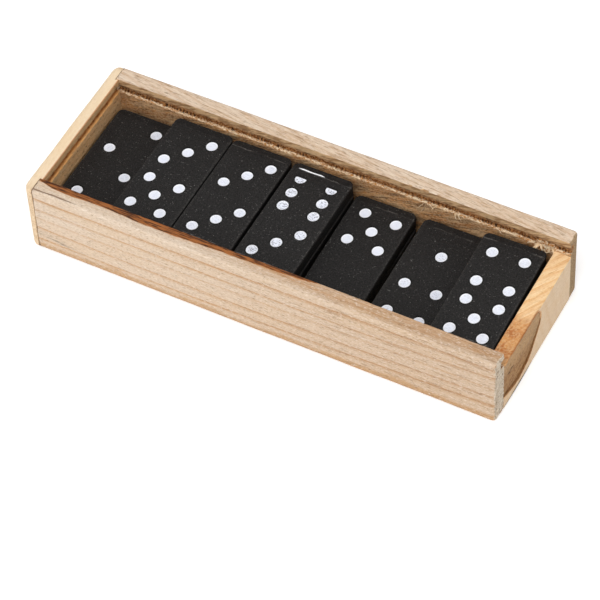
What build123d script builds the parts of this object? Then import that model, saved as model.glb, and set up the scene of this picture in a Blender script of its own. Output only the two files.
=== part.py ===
from build123d import *
import os

os.makedirs("parts", exist_ok=True)

# A long wooden box with a groove for a slide-in lid, holding stacks of dominoes.
# Millimetres. X runs along the box towards its low end, Y towards the back wall, Z up.
# The origin is the centre of the box's underside.

# Box, outside
box_length = 148.0
box_width = 53.4
box_height = 24.6

# Boards
wall_thick = 5.25
left_end_thick = 3.9
left_lip = 3.0              # outer part of the left end, which covers the ends of the long walls
left_end_drop = 0.3         # the left end stands this much lower than the long walls
right_end_thick = 5.0
right_end_height = 19.0     # low, so that the lid slides in over it
base_thick = 1.2
base_let_in = 2.0           # how far the base goes into the long walls and the right end

# Lid groove, open at the right end
groove_floor = 19.7
groove_height = 2.7
groove_depth = 2.0
left_groove_depth = 1.5

# Softened edges
left_corner_radius = 2.7
right_corner_radius = 1.5
top_edge_radius = 1.0
bottom_edge_radius = 1.0
overcut = 1.0               # how far a cut runs past the wood

# Scoop left where the right end's board was short of wood: its outline on the end face,
# as (y, z) from the front wall's inner face and the underside, and its depth
scoop_outline = [(0, 19.5), (0, 5.4), (5.0, 4.3), (10.2, 5.0), (14.3, 6.9),
                 (18.6, 8.6), (21.7, 14.0), (22.0, 16.8), (20.9, 19.5)]
scoop_depth_top = 0.15
scoop_depth_bottom = 1.4

# Chip torn out of the back wall under the groove: places along the box from the left face
chip_start = 137.6
chip_end = 143.0
chip_drop = 2.2
chip_depth = 1.6

# Dominoes
tile_long = 40.0
tile_wide = 18.8
tile_thick = 4.5
tile_corner = 1.75
tile_edge = 0.35
pip_radius = 1.78
pip_depth = 0.35
pip_across = 4.9            # pip column, from the tile's middle line
pip_along = 5.0             # pip row, from the middle of its half
half_centre = 9.1           # middle of each half, from the tile's centre

# One domino's first row is cut off along a line, with a thin stray groove beyond it
cut_row = 14.45
stray_row = 17.9
stray_start = -7.2
stray_end = 1.2
stray_width = 0.35
stray_depth = 0.2

# The stacks, from the left: centre from the left face, turn of the top domino in degrees,
# and the dominoes from the base up as (back half, front half)
stacks = [
    (14.1, 0.0, [(0, 0), (1, 3), (2, 2)]),
    (33.2, 0.0, [(4, 6), (0, 2), (5, 5), (3, 5)]),
    (52.4, 0.0, [(1, 1), (3, 4), (2, 6), (3, 3)]),
    (72.2, 0.0, [(0, 4), (1, 5), (6, 6), (6, 3)]),
    (92.2, 1.0, [(2, 3), (0, 1), (5, 0)]),
    (113.3, 0.4, [(4, 4), (1, 6), (1, 4)]),
    (132.75, 1.4, [(0, 3), (2, 5), (1, 2), (4, 5)]),
]
cut_tile = (6, 3)           # the domino with the cut-off row
y_settle = [0.35, -0.3, 0.15, -0.1]     # dominoes don't stack quite square, from the base up
top_shift = [-0.2, 0.3, 0.2, 0.0, 0.3, 0.5, 0.1]    # each stack's top domino, towards the back

# Derived places
x_left = -box_length / 2
x_right = box_length / 2
wall_start = x_left + left_lip
left_face = x_left + left_end_thick
right_face = x_right - right_end_thick
base_right = right_face + base_let_in
y_outer = box_width / 2
y_inner = y_outer - wall_thick
groove_top = groove_floor + groove_height


# A block between two corners
def block(x0, x1, y0, y1, z0, z1):
    centre = Pos((x0 + x1) / 2, (y0 + y1) / 2, (z0 + z1) / 2)
    return centre * Box(x1 - x0, y1 - y0, z1 - z0)


# The edges of a shape at one height that lie in the given direction's outermost places
def outline_edges(shape, z, keep):
    return [e for e in shape.edges() if abs(e.bounding_box().min.Z - z) < 1e-4
            and abs(e.bounding_box().max.Z - z) < 1e-4 and keep(e.center())]


# Long wall at the back: groove and base rebate inside, edges softened outside
def long_wall():
    wall = block(wall_start, x_right, y_inner, y_outer, 0, box_height)
    upright = [e for e in wall.edges().filter_by(Axis.Z)
               if e.center().X > x_right - 1e-4 and e.center().Y > y_outer - 1e-4]
    wall = fillet(upright, right_corner_radius)

    def outside(c):
        return c.X > wall_start + 1e-4 and c.Y > y_inner + 1e-4

    wall = fillet(outline_edges(wall, box_height, outside), top_edge_radius)
    wall = fillet(outline_edges(wall, 0, outside), bottom_edge_radius)
    wall -= block(wall_start - overcut, x_right + overcut,
                  y_inner - overcut, y_inner + groove_depth, groove_floor, groove_top)
    wall -= block(wall_start - overcut, base_right,
                  y_inner - overcut, y_inner + base_let_in, -overcut, base_thick)
    return wall


# Wedge torn out under the back wall's groove, deepest at the groove
def chip():
    z_low = groove_floor - chip_drop
    outline = Polyline((x_left + chip_start, groove_floor + overcut),
                       (x_left + chip_end, groove_floor + overcut),
                       (x_left + chip_end, z_low + 0.4),
                       (x_left + chip_start + 2.0, z_low),
                       (x_left + chip_start, groove_floor - 0.5), close=True)
    prism = extrude(Plane.XZ.offset(-y_inner - chip_depth) * make_face(outline), chip_depth + overcut)
    slope = Polyline((y_inner - overcut, z_low - overcut), (y_inner, z_low),
                     (y_inner + chip_depth, groove_floor + overcut),
                     (y_inner - overcut, groove_floor + overcut), close=True)
    wedge = extrude(Plane.YZ.offset(x_left + chip_start) * make_face(slope), chip_end - chip_start)
    return prism & wedge


def front_wall():
    return mirror(long_wall(), about=Plane.XZ)


def back_wall():
    return long_wall() - chip()


# Left end: full width, rabbeted for the long walls' ends, with the groove's closed end
def left_end():
    height = box_height - left_end_drop
    end = block(x_left, left_face, -y_outer, y_outer, 0, height)
    upright = [e for e in end.edges().filter_by(Axis.Z) if e.center().X < x_left + 1e-4]
    end = fillet(upright, left_corner_radius)

    def outside(c):
        return c.X < left_face - 1e-4 and not (abs(c.Y) > y_outer - 1e-4 and c.X > wall_start)

    end = fillet(outline_edges(end, height, outside), top_edge_radius)
    end = fillet(outline_edges(end, 0, outside), bottom_edge_radius)
    for side in (-1, 1):
        lo, hi = sorted((side * y_inner, side * (y_outer + overcut)))
        end -= block(wall_start, left_face + overcut, lo, hi, -overcut, height + overcut)
    end -= block(left_face - left_groove_depth, left_face + overcut,
                 -y_inner, y_inner, groove_floor, groove_top)
    end -= block(wall_start, left_face + overcut, -y_outer, y_outer, -overcut, base_thick)
    return end


# Hollow in the right end's outer face: an undercut slope inside the scoop's outline
def scoop():
    points = [(y - y_inner, z) for y, z in scoop_outline]
    prism = extrude(Plane.YZ.offset(x_right - 2 * scoop_depth_bottom)
                    * make_face(Polyline(*points, close=True)), 4 * scoop_depth_bottom)
    z_low = min(z for _, z in scoop_outline)
    slope = Polyline((x_right - scoop_depth_top, right_end_height + overcut),
                     (x_right - scoop_depth_bottom, z_low - overcut),
                     (x_right + overcut, z_low - overcut),
                     (x_right + overcut, right_end_height + overcut), close=True)
    wedge = extrude(Plane.XZ.offset(-y_outer) * make_face(slope), box_width)
    return prism & wedge


def right_end():
    end = block(right_face, x_right, -y_inner, y_inner, 0, right_end_height)
    lower = [e for e in end.edges().filter_by(Axis.Y)
             if e.center().X > x_right - 1e-4 and e.center().Z < 1e-4]
    end = fillet(lower, bottom_edge_radius)
    end -= block(right_face - overcut, base_right, -y_outer, y_outer, -overcut, base_thick)
    return end - scoop()


def base_board():
    reach = y_inner + base_let_in
    return block(wall_start, base_right, -reach, reach, 0, base_thick)


# Places of the pips of one half, as (across, along) from the half's middle
def half_pips(value):
    a, b = pip_across, pip_along
    diagonal = [(a, b), (-a, -b)]
    other = [(-a, b), (a, -b)]
    middle = [(0, 0)]
    sides = [(-a, 0), (a, 0)]
    layouts = [[], middle, diagonal, diagonal + middle, diagonal + other,
               diagonal + other + middle, diagonal + other + sides]
    return layouts[value]


# One domino, face up, centred on its underside
def domino(back, front):
    tile = extrude(RectangleRounded(tile_wide, tile_long, tile_corner), tile_thick)
    rims = outline_edges(tile, 0, lambda c: True) + outline_edges(tile, tile_thick, lambda c: True)
    tile = fillet(rims, tile_edge)
    floor = tile_thick - pip_depth
    cut = (back, front) == cut_tile
    for value, middle in ((back, half_centre), (front, -half_centre)):
        for across, along in half_pips(value):
            y = middle + along
            if cut and y > half_centre + pip_along - 1e-4:
                y = cut_row
                half = Pos(across, y - pip_radius, floor + 1) * Box(2 * pip_radius, 2 * pip_radius, 2)
                tile -= (Pos(across, y, floor + 1) * Cylinder(pip_radius, 2)) & half
            else:
                tile -= Pos(across, y, floor + 1) * Cylinder(pip_radius, 2)
    if cut:
        tile -= block(stray_start, stray_end, stray_row - stray_width / 2,
                      stray_row + stray_width / 2, tile_thick - stray_depth, tile_thick + 1)
    return tile


# Every domino of every stack, moved to its place in the box
def dominoes():
    placed = {}
    for (centre, turn, values), shift in zip(stacks, top_shift):
        for level, (back, front) in enumerate(values):
            top = level == len(values) - 1
            y = shift if top else y_settle[level]
            place = Pos(x_left + centre, y, base_thick + level * tile_thick)
            if top:
                place = place * Rot(0, 0, turn)
            placed[f"domino_{back}_{front}"] = place * domino(back, front)
    return placed


pieces = {
    "front_wall": front_wall(),
    "back_wall": back_wall(),
    "left_end": left_end(),
    "right_end": right_end(),
    "base_board": base_board(),
}
pieces.update(dominoes())

for name, shape in pieces.items():
    export_step(shape, f"parts/{name}.step")
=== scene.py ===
import bpy
import math
import numpy as np
from mathutils import Matrix, Vector, geometry


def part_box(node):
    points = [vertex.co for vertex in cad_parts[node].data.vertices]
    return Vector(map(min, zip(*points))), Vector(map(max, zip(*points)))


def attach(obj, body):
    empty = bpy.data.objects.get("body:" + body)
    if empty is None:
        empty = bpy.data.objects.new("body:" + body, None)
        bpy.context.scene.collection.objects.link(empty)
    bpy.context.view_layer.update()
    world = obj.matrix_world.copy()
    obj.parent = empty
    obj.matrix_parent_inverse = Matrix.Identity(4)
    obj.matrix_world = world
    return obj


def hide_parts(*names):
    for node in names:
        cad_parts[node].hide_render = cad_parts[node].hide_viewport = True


# A wooden domino box with its stacked dominoes. Sizes are in millimetres and become metres when a mesh
# is made. X runs along the box towards its low end, Y towards the back wall, Z up.
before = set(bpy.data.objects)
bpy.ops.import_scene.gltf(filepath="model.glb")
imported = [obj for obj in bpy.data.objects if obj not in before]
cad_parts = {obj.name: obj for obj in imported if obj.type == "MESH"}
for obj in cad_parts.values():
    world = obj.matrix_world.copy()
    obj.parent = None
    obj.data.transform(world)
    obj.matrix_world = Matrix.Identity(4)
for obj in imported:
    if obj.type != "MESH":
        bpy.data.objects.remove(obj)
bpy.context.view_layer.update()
mm = 0.001
print("frame loaded")


def nodeBox(node):
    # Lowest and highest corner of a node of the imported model, in millimetres
    low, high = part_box(node)
    return np.array(low) / mm, np.array(high) / mm


wallLow, wallHigh = nodeBox("back_wall")
leftLow, leftHigh = nodeBox("left_end")
rightLow, rightHigh = nodeBox("right_end")
baseHigh = nodeBox("base_board")[1]
tileLow, tileHigh = nodeBox("domino_0_0")
wallThick = wallHigh[1] - wallLow[1]


def toLinear(hexCode):
    # sRGB hex to linear colour: dark channels are divided by 12.92, the others follow the 2.4 power curve
    channels = np.array([int(hexCode[i:i + 2], 16) for i in (1, 3, 5)]) / 255
    linear = np.where(channels <= 0.04045, channels / 12.92, ((channels + 0.055) / 1.055) ** 2.4)
    return (*linear, 1.0)


def addNode(tree, kind, inputs=None, stops=None, **settings):
    # Adds one node, sets its properties and ramp stops, and gives each input a link, a hex colour or a number
    node = tree.nodes.new("ShaderNode" + kind)
    for name, value in settings.items():
        setattr(node, name, value)
    for name, value in (inputs or {}).items():
        if isinstance(value, bpy.types.Node):
            value = next(socket for socket in value.outputs if socket.enabled)
        if isinstance(value, bpy.types.NodeSocket):
            tree.links.new(value, node.inputs[name])
        else:
            node.inputs[name].default_value = toLinear(value) if isinstance(value, str) else value
    for index, (position, level) in enumerate(stops or []):
        ramp = node.color_ramp.elements
        stop = ramp[index] if index < len(ramp) else ramp.new(position)
        stop.position = position
        stop.color = (level, level, level, 1)
    return node


patternShift = 7.3      # moves each pattern of a finish on, so that no two of them match


def makeFinish(name, look):
    # One surface finish in layers. Each pattern is noise whose features have the given size in millimetres,
    # along the grain first. An edge is a number carried by the mesh, frayed by a pattern and shaped by ramp
    # stops. Growth lines lie where the mesh's ring number is whole. A layer lays its colour on by its
    # strength times every pattern, edge and number that it names.
    material = bpy.data.materials.new(name)
    material.use_nodes = True
    tree = material.node_tree
    shader = tree.nodes["Principled BSDF"]
    turn = [math.radians(angle) for angle in look.get("turn", (0, 0, 0))]
    grain = addNode(tree, "Mapping", {"Vector": addNode(tree, "TexCoord").outputs["Object"],
                                      "Scale": (1 / mm,) * 3, "Rotation": turn})
    found = {}
    for index, (pattern, (size, detail, low, high)) in enumerate(look["patterns"].items()):
        spot = addNode(tree, "Mapping", {"Vector": grain, "Scale": [1 / length for length in size],
                                         "Location": (patternShift * index,) * 3})
        noise = addNode(tree, "TexNoise", {"Vector": spot, "Scale": 1.0, "Detail": detail, "Roughness": 0.6})
        found[pattern] = addNode(tree, "MapRange", {"Value": noise, "From Min": low, "From Max": high},
                                 interpolation_type="SMOOTHSTEP")
    for edge, (mark, pattern, fray, stops) in look.get("edges", {}).items():
        carried = addNode(tree, "Attribute", attribute_type="GEOMETRY", attribute_name=mark)
        pushed = addNode(tree, "Math", {0: found[pattern], 1: fray, 2: carried}, operation="MULTIPLY_ADD")
        centred = addNode(tree, "Math", {0: pushed, 1: fray / 2}, operation="SUBTRACT")
        found[edge] = addNode(tree, "ValToRGB", {"Fac": centred}, stops=stops)
    if "growth" in look:
        shape, least, fray = look["growth"]
        carried = addNode(tree, "Attribute", attribute_type="GEOMETRY", attribute_name="ring")
        ring = addNode(tree, "Math", {0: found["fibre"], 1: fray, 2: carried}, operation="MULTIPLY_ADD")
        nearest = addNode(tree, "Math", {0: ring}, operation="ROUND")
        offset = addNode(tree, "Math", {0: ring, 1: nearest}, operation="SUBTRACT")
        offset = addNode(tree, "Math", {0: offset, 1: 0.5}, operation="ADD")
        line = addNode(tree, "ValToRGB", {"Fac": offset}, stops=shape)
        chance = addNode(tree, "TexWhiteNoise", {"W": nearest}, noise_dimensions="1D")
        strength = addNode(tree, "MapRange", {"Value": chance.outputs["Value"], "To Min": least})
        found["growth"] = addNode(tree, "Math", {0: line, 1: strength}, operation="MULTIPLY")

    colour = look["body"]
    for names, strength, shade in look["layers"]:
        amount = strength
        for part in names.split():
            if part not in found:
                found[part] = addNode(tree, "Attribute", attribute_type="GEOMETRY", attribute_name=part)
            amount = addNode(tree, "Math", {0: found[part], 1: amount}, operation="MULTIPLY", use_clamp=True)
        colour = addNode(tree, "Mix", {0: amount, 6: colour, 7: shade}, data_type="RGBA")
    tree.links.new(colour.outputs[2], shader.inputs["Base Color"])

    height = 0.0
    for part, weight in look["relief"].items():
        height = addNode(tree, "Math", {0: found[part], 1: weight, 2: height}, operation="MULTIPLY_ADD")
    bump = addNode(tree, "Bump", {"Strength": 1.0, "Distance": look["reliefDepth"] * mm, "Height": height})
    tree.links.new(bump.outputs[0], shader.inputs["Normal"])
    pattern, low, high = look["gloss"]
    roughness = addNode(tree, "MapRange", {"Value": found[pattern], "To Min": low, "To Max": high})
    tree.links.new(roughness.outputs[0], shader.inputs["Roughness"])
    shader.inputs["Specular IOR Level"].default_value = look["specular"]
    return material


def softNoise(seed, u, v=0.0):
    # Random heights from -1 to 1 at whole numbers of u and v, joined by smooth steps
    period = 256
    table = np.random.default_rng(seed).uniform(-1, 1, (period, period))
    u, v = np.broadcast_arrays(np.asarray(u, float), np.asarray(v, float))
    i, j = np.floor(u).astype(int), np.floor(v).astype(int)
    s, t = u - i, v - j
    s, t = s * s * (3 - 2 * s), t * t * (3 - 2 * t)
    i, j, iNext, jNext = i % period, j % period, (i + 1) % period, (j + 1) % period
    near = table[i, j] * (1 - s) + table[iNext, j] * s
    far = table[i, jNext] * (1 - s) + table[iNext, jNext] * s
    return near * (1 - t) + far * t


def peaks(seed, u, v=0.0):
    # The soft noise where it is above 0, and 0 elsewhere
    return np.clip(softNoise(seed, u, v), 0, 1)


def smoothStep(low, high, value):
    # 0 below low, 1 above high, and the curve 3t^2 - 2t^3 between
    t = np.clip((value - low) / (high - low), 0, 1)
    return t * t * (3 - 2 * t)


def rounding(past, radius):
    # How far a quarter circle of the radius has drawn in, a distance past its start
    past = np.clip(past, 0, radius)
    return radius - np.sqrt(radius ** 2 - past ** 2)


def gridFaces(rows, columns, closed=True):
    # Four-cornered faces between neighbouring rows and columns; closed joins the last column to the first
    index = np.arange(rows * columns).reshape(rows, columns)
    if closed:
        index = np.hstack([index, index[:, :1]])
    return np.stack([index[:-1, :-1], index[:-1, 1:], index[1:, 1:], index[1:, :-1]], -1).reshape(-1, 4)


def closingFaces(rows, columns):
    # The two faces that close a tube of rows: its first row reversed, and its last
    row = np.arange(columns)[None]
    return [row[:, ::-1], (rows - 1) * columns + row]


def repeatSection(outline, rows):
    # The section's points, across and up, once for every row
    return np.tile(outline[:, 0], (rows, 1)), np.tile(outline[:, 1], (rows, 1))


def perPoint(carried, shape, pad=()):
    # Each carried number as one value for every point of a grid, and for the points that follow it
    return {mark: np.concatenate([np.broadcast_to(values, shape).ravel().astype(float), pad])
            for mark, values in carried.items()}


def faceMiddles(marks):
    # The marks of a section's faces, halfway between those of their points
    return (marks + np.roll(marks, -1)) / 2


def signedVolume(points, groups):
    # Sum of the volumes of the tetrahedra from the origin to a fan of triangles on each face
    total = 0.0
    for group in groups:
        for k in range(1, group.shape[1] - 1):
            a, b, c = points[group[:, 0]], points[group[:, k]], points[group[:, k + 1]]
            total += np.einsum("ij,ij->i", a, np.cross(b, c)).sum()
    return total


def makePiece(name, points, groups, body, materials, replaced=(), sharp=50, numbers=None, paint=None):
    # Mesh from arrays: groups of faces with equally many corners, turned outwards, smooth but for sharp edges
    if signedVolume(points, groups) < 0:
        groups = [group[:, ::-1] for group in groups]
    corners = np.concatenate([group.ravel() for group in groups]).astype(np.int32)
    sizes = np.concatenate([np.full(len(group), group.shape[1]) for group in groups])
    mesh = bpy.data.meshes.new(name)
    mesh.vertices.add(len(points))
    mesh.vertices.foreach_set("co", (points * mm).astype(np.float32).ravel())
    mesh.loops.add(len(corners))
    mesh.loops.foreach_set("vertex_index", corners)
    mesh.polygons.add(len(sizes))
    mesh.polygons.foreach_set("loop_start", (np.cumsum(sizes) - sizes).astype(np.int32))
    if paint is not None:
        mesh.polygons.foreach_set("material_index", paint.astype(np.int32))
    mesh.polygons.foreach_set("use_smooth", np.ones(len(sizes), bool))
    mesh.update(calc_edges=True)
    mesh.set_sharp_from_angle(angle=math.radians(sharp))
    for mark, values in (numbers or {}).items():
        data = mesh.attributes.new(mark, "FLOAT", "POINT").data
        data.foreach_set("value", np.broadcast_to(values, len(points)).astype(np.float32))
    for material in materials:
        mesh.materials.append(material)
    piece = bpy.data.objects.new(name, mesh)
    bpy.context.scene.collection.objects.link(piece)
    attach(piece, body)
    if replaced:
        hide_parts(*replaced)


def roundedOutline(corners):
    # Walks round a polygon of right angles, given as (across, up, radius, step). Each corner is a quarter
    # circle that touches both sides, and each side is divided evenly. A point's mark tells how far round it
    # is: its corner's number on the arc, and on towards the next number along the side
    arcSteps = 4
    spots = np.array([corner[:2] for corner in corners], float)
    along = np.roll(spots, -1, 0) - spots
    length = np.abs(along).sum(1)
    along = along / length[:, None]
    points, marks = [], []
    for i, (_, _, radius, step) in enumerate(corners):
        before, after = along[i - 1], along[i]
        turn = np.linspace(0, math.pi / 2, arcSteps + 1)[:, None]
        centre = spots[i] - radius * before + radius * after
        points.append(centre - radius * after * np.cos(turn) + radius * before * np.sin(turn))
        marks.append(np.full(len(turn), float(i)))
        run = length[i] - radius - corners[(i + 1) % len(corners)][2]
        steps = max(1, round(run / step))
        part = np.arange(1, steps)[:, None] / steps
        points.append(spots[i] + after * (radius + run * part))
        marks.append(i + part[:, 0])
    return np.concatenate(points), np.concatenate(marks)


def outwardNormals(points):
    # Each point's normal is square to the line between its neighbours, away from the area inside
    ahead = np.roll(points, -1, 0) - np.roll(points, 1, 0)
    normal = np.stack([ahead[:, 1], -ahead[:, 0]], 1)
    area = (points[:, 0] * np.roll(points[:, 1], -1) - np.roll(points[:, 0], -1) * points[:, 1]).sum()
    return normal / np.linalg.norm(normal, axis=1)[:, None] * np.sign(area)


view = {
    "azimuth": 30.387, "elevation": 50.564, "roll": -3.479,  # degrees: right of the front, above the floor
    "target": (5.68, -11.47, 0.0), "distance": 862.07,       # millimetres
    "lens": 182.9, "sensor": 36.0, "nearest": 0.01,          # millimetres, but metres for the last
}


def addCamera():
    # Camera axes: back points from the target to the camera, right is level, both then rolled about back
    azimuth, elevation, roll = (math.radians(view[key]) for key in ("azimuth", "elevation", "roll"))
    back = Vector((math.sin(azimuth) * math.cos(elevation), -math.cos(azimuth) * math.cos(elevation),
                   math.sin(elevation)))
    right = (-back).cross(Vector((0, 0, 1))).normalized()
    up = back.cross(right)
    turnedRight = math.cos(roll) * right + math.sin(roll) * up
    turnedUp = math.cos(roll) * up - math.sin(roll) * right
    data = bpy.data.cameras.new("photoCamera")
    data.lens, data.sensor_width, data.clip_start = view["lens"], view["sensor"], view["nearest"]
    camera = bpy.data.objects.new("photoCamera", data)
    place = (Vector(view["target"]) + back * view["distance"]) * mm
    axes = Matrix((turnedRight, turnedUp, back)).transposed().to_4x4()
    camera.matrix_world = Matrix.Translation(place) @ axes
    bpy.context.scene.collection.objects.link(camera)
    bpy.context.scene.camera = camera


light = {
    "sky": 0.56,
    "lamps": [  # name, place in metres, size in metres, watts
        ("frontSoftbox", (-0.30, -1.0, 0.55), 0.8, 3.2),
        ("rightSoftbox", (1.0, -0.1, 0.75), 0.8, 3.0),
        ("topSoftbox", (0.15, -0.55, 1.0), 0.6, 5.6),
    ],
    "floorColour": "#F4F4F4", "floorLift": 0.25,
    "floorReach": 3.0, "floorBelow": 0.00002,       # in metres
}


def addLight():
    # A white sky all round and large soft lamps; the sky is whiter to the camera than it lights
    world = bpy.data.worlds.new("studio")
    world.use_nodes = True
    sky = world.node_tree.nodes["Background"]
    sky.inputs["Color"].default_value = (1, 1, 1, 1)
    seen = addNode(world.node_tree, "LightPath").outputs["Is Camera Ray"]
    strength = addNode(world.node_tree, "MapRange", {"Value": seen, "To Min": light["sky"], "To Max": 1.0})
    world.node_tree.links.new(strength.outputs[0], sky.inputs["Strength"])
    bpy.context.scene.world = world
    for name, place, size, power in light["lamps"]:
        data = bpy.data.lights.new(name, "AREA")
        data.shape, data.size, data.energy = "DISK", size, power
        lamp = bpy.data.objects.new(name, data)
        lamp.location = place
        lamp.rotation_euler = (-Vector(place)).to_track_quat("-Z", "Y").to_euler()
        bpy.context.scene.collection.objects.link(lamp)


def addFloor():
    # A wide white sheet, lifted a little to the eye so that it reads white and keeps the box's shadow
    mesh = bpy.data.meshes.new("floor")
    reach, level = light["floorReach"], -light["floorBelow"]
    corners = [(-reach, -reach, level), (reach, -reach, level), (reach, reach, level), (-reach, reach, level)]
    mesh.from_pydata(corners, [], [(0, 1, 2, 3)])
    floor = bpy.data.objects.new("floor", mesh)
    bpy.context.scene.collection.objects.link(floor)
    paper = bpy.data.materials.new("mattWhitePaper")
    paper.use_nodes = True
    tree = paper.node_tree
    shader = tree.nodes["Principled BSDF"]
    shader.inputs["Base Color"].default_value = toLinear(light["floorColour"])
    shader.inputs["Roughness"].default_value = 0.9
    shader.inputs["Specular IOR Level"].default_value = 0.1
    rays = addNode(tree, "LightPath").outputs
    mirrored = addNode(tree, "Math", {0: rays["Is Glossy Ray"], 1: rays["Is Transmission Ray"]},
                       operation="ADD")
    either = addNode(tree, "Math", {0: rays["Is Camera Ray"], 1: mirrored}, operation="ADD", use_clamp=True)
    lift = addNode(tree, "Math", {0: either, 1: light["floorLift"]}, operation="MULTIPLY")
    shader.inputs["Emission Color"].default_value = (1, 1, 1, 1)
    tree.links.new(lift.outputs[0], shader.inputs["Emission Strength"])
    mesh.materials.append(paper)


bpy.context.scene.view_settings.view_transform = "Standard"
addCamera()
addLight()
addFloor()
print("camera, light and floor placed")

# Late wood of one year: slowly darker, a crisp dark line, then pale early wood at once
yearLine = [(0.0, 0.0), (0.25, 0.10), (0.44, 0.45), (0.50, 1.0), (0.54, 0.45), (0.62, 0.05)]
softYear = [(0.0, 0.0), (0.30, 0.55), (0.50, 1.0), (0.62, 0.45), (0.80, 0.0)]

# Planed pine, hand sanded: pale, darker towards the right by painted shade, with tan growth lines, short
# brown flecks and darker streaks to the right;
# the stained strip along the inner edge of its top is dark red-brown
frontPine = {
    "turn": (0, 1.0, 0), "body": "#DCCBB8",
    "patterns": {
        "fibre": ((16.0, 0.5, 0.5), 4.0, 0.30, 0.72), "hair": ((3.0, 0.2, 0.2), 2.0, 0.35, 0.70),
        "broad": ((45.0, 6.0, 6.0), 2.0, 0.35, 0.70), "patch": ((18.0, 2.0, 2.0), 2.0, 0.30, 0.60),
        "fleck": ((0.9, 0.35, 0.35), 2.0, 0.48, 0.72), "pale": ((1.1, 0.40, 0.40), 2.0, 0.50, 0.75),
        "streak": ((7.0, 0.5, 0.5), 3.0, 0.54, 0.70), "pore": ((1.5, 0.26, 0.26), 2.0, 0.60, 0.74),
        "ridge": ((5.0, 0.45, 0.45), 2.0, 0.46, 0.60),
    },
    "growth": (yearLine, 0.45, 0.07),
    "edges": {"strip": ("stain", "hair", 0.16, [(0.0, 0.0), (0.46, 0.0), (0.56, 1.0)]),
              "stripRim": ("stain", "hair", 0.16, [(0.40, 0.0), (0.50, 1.0), (0.62, 0.0)]),
              "split": ("crack", "hair", 0.30, [(0.30, 0.0), (0.75, 1.0)])},
    "layers": [
        # The face darker towards the right: painted shade; its growth lines, streaks and pores also get
        # darker there
        ("fibre", 0.35, "#CDB296"), ("broad", 0.40, "#D8BB98"), ("toRight", 0.50, "#BFA183"),
        ("growth patch", 0.45, "#CE9A60"), ("growth", 0.85, "#BA844C"), ("growth toRight", 0.45, "#8C6844"),
        # A darker band along the bottom: partly other grain, partly painted shade of the rounded bottom edge
        ("low", 0.70, "#BC8E5A"),
        ("streak toRight", 0.75, "#9A7756"), ("fleck", 0.50, "#A68460"), ("pale", 0.45, "#F2E7DB"),
        ("pore", 0.50, "#83603F"), ("pore toRight", 0.50, "#6E4C30"), ("smoky ridge", 0.9, "#82756A"),
        ("strip", 1.0, "#8A5024"), ("strip fibre", 0.60, "#B5703A"), ("strip ridge", 0.90, "#3A1D0C"),
        ("stripRim", 0.50, "#CC8840"), ("split", 0.75, "#6E4526"),
    ],
    "relief": {"fibre": 0.5, "hair": 0.5, "fleck": -0.5, "pore": -0.8, "split": -3.0}, "reliefDepth": 0.07,
    "gloss": ("fibre", 0.62, 0.78), "specular": 0.3,
}
# The same pine with slanting grain: short dark dashes run askew over its top
backPine = {
    **frontPine, "turn": (0, 4.0, 7.0), "body": "#E2CEB8",
    "growth": (softYear, 0.35, 0.12),
    "patterns": {
        **frontPine["patterns"], "fibre": ((9.0, 0.6, 0.6), 4.0, 0.30, 0.72),
        "fleck": ((3.2, 0.40, 0.40), 2.0, 0.48, 0.68), "pore": ((3.4, 0.30, 0.30), 2.0, 0.57, 0.69),
        "streak": ((11.0, 0.8, 0.8), 3.0, 0.50, 0.64),
    },
    "layers": [
        ("fibre", 0.40, "#CBAB8B"), ("broad", 0.30, "#D9BA98"), ("growth", 0.40, "#C79A70"),
        ("streak", 0.50, "#B08A64"), ("fleck", 0.34, "#A8835C"), ("pale", 0.35, "#F4E9DC"),
        ("pore", 0.55, "#835E3C"), ("split", 0.75, "#7A4522"),
    ],
}
# Sawn pine inside, never sanded: brown, its own colour darkened and warmed by painted shade of the box's
# inside, with grey-beige and dark bands that climb to the right. Its groove
# was torn by the cutter: tick marks with painted shadow in them, painted shade deep under the lip, and pale
# fibres at its lower edge that are partly painted light
sawnPine = {
    # The body is the wood's own brown, darkened and warmed by painted shade of the box's inside
    "turn": (0, 17.0, 0), "body": "#C08550",
    "patterns": {
        "band": ((15.0, 1.5, 1.7), 3.0, 0.40, 0.60), "cloud": ((9.0, 4.0, 3.5), 2.0, 0.42, 0.60),
        "dark": ((7.0, 0.9, 0.9), 3.0, 0.49, 0.62), "fibre": ((5.0, 0.35, 0.35), 3.0, 0.35, 0.70),
        "fleck": ((0.8, 0.35, 0.35), 2.0, 0.48, 0.70), "rough": ((0.8, 0.45, 0.45), 3.0, 0.40, 0.60),
        "wave": ((4.0, 0.8, 0.8), 3.0, 0.44, 0.60),
    },
    "layers": [
        ("cloud", 0.75, "#BF9F7A"), ("band", 0.75, "#8C5428"), ("dark", 0.85, "#4A2912"),
        ("fibre", 0.35, "#DDB582"), ("fleck", 0.60, "#5E3618"), ("rough", 0.30, "#E6C49A"),
        # The torn groove: orange fibres, near white at its lower edge, partly the fibres' own pale colour and
        # partly painted light
        ("lip", 0.65, "#E3BE90"), ("lip wave", 0.70, "#8A5E38"), ("torn", 0.85, "#C4813F"),
        # The groove's floor darker and redder towards the back, under the lip: painted shade
        ("torn rough", 0.95, "#FBE6C4"), ("deep", 0.90, "#74401A"),
        # Near-black ticks: the cutter's pits, with painted shadow in them
        ("deep rough", 0.70, "#D8995A"), ("cutterTickAndShadow", 0.97, "#1A0C04"),
    ],
    "relief": {"fibre": 0.6, "rough": 0.7, "dark": -0.6}, "reliefDepth": 0.16,
    "gloss": ("fibre", 0.68, 0.85), "specular": 0.2,
}
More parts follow.
